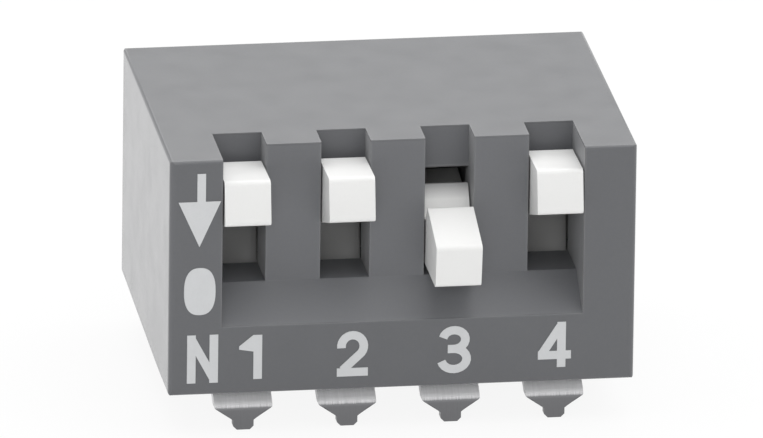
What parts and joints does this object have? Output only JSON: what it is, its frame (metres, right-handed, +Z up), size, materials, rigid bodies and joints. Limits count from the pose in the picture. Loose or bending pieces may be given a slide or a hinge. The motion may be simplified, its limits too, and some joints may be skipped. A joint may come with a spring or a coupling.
{
  "type": "dip switch",
  "caption": "Piano-style DIP switch: grey moulded cover with recessed front, white rocking levers, sprung ball contacts inside and short through-hole pins in two rows.",
  "frame": {"origin": "centre of the base's underside, in the seating plane", "axes": "+X along the row from position 1 to position 4, the levers point to -Y, +Z up"},
  "size_m": [0.0114, 0.0093, 0.007],
  "materials": {
    "cover_plastic": "satin moulded grey",
    "base_plastic": "matte moulded grey",
    "lever_plastic": "satin moulded white",
    "terminal_metal": "tin-plated copper alloy",
    "contact_ball": "gold-plated",
    "spring_steel": "drawn wire",
    "mark_ink": "light grey printed marks"
  },
  "bodies": {
    "housing": {"cover": "cover_plastic", "base": "base_plastic", "front_terminal_1": "terminal_metal", "front_terminal_2": "terminal_metal", "front_terminal_3": "terminal_metal", "front_terminal_4": "terminal_metal", "rear_terminal_1": "terminal_metal", "rear_terminal_2": "terminal_metal", "rear_terminal_3": "terminal_metal", "rear_terminal_4": "terminal_metal"},
    "rocker_1": {"lever_1": "lever_plastic", "spring_1": "spring_steel", "ball_1": "contact_ball"},
    "rocker_2": {"lever_2": "lever_plastic", "spring_2": "spring_steel", "ball_2": "contact_ball"},
    "rocker_3": {"lever_3": "lever_plastic", "spring_3": "spring_steel", "ball_3": "contact_ball"},
    "rocker_4": {"lever_4": "lever_plastic", "spring_4": "spring_steel", "ball_4": "contact_ball"}
  },
  "joints": [
    {"name": "lever_1_tilt", "type": "hinge", "parent": "housing", "child": "rocker_1", "pos_m": [-0.00381, 0.00025, 0.00255], "axis": [1, 0, 0], "range_deg": [0, 19]},
    {"name": "lever_2_tilt", "type": "hinge", "parent": "housing", "child": "rocker_2", "pos_m": [-0.00127, 0.00025, 0.00255], "axis": [1, 0, 0], "range_deg": [0, 19]},
    {"name": "lever_3_tilt", "type": "hinge", "parent": "housing", "child": "rocker_3", "pos_m": [0.00127, 0.00025, 0.00255], "axis": [1, 0, 0], "range_deg": [-19, 0]},
    {"name": "lever_4_tilt", "type": "hinge", "parent": "housing", "child": "rocker_4", "pos_m": [0.00381, 0.00025, 0.00255], "axis": [1, 0, 0], "range_deg": [0, 19]}
  ]
}
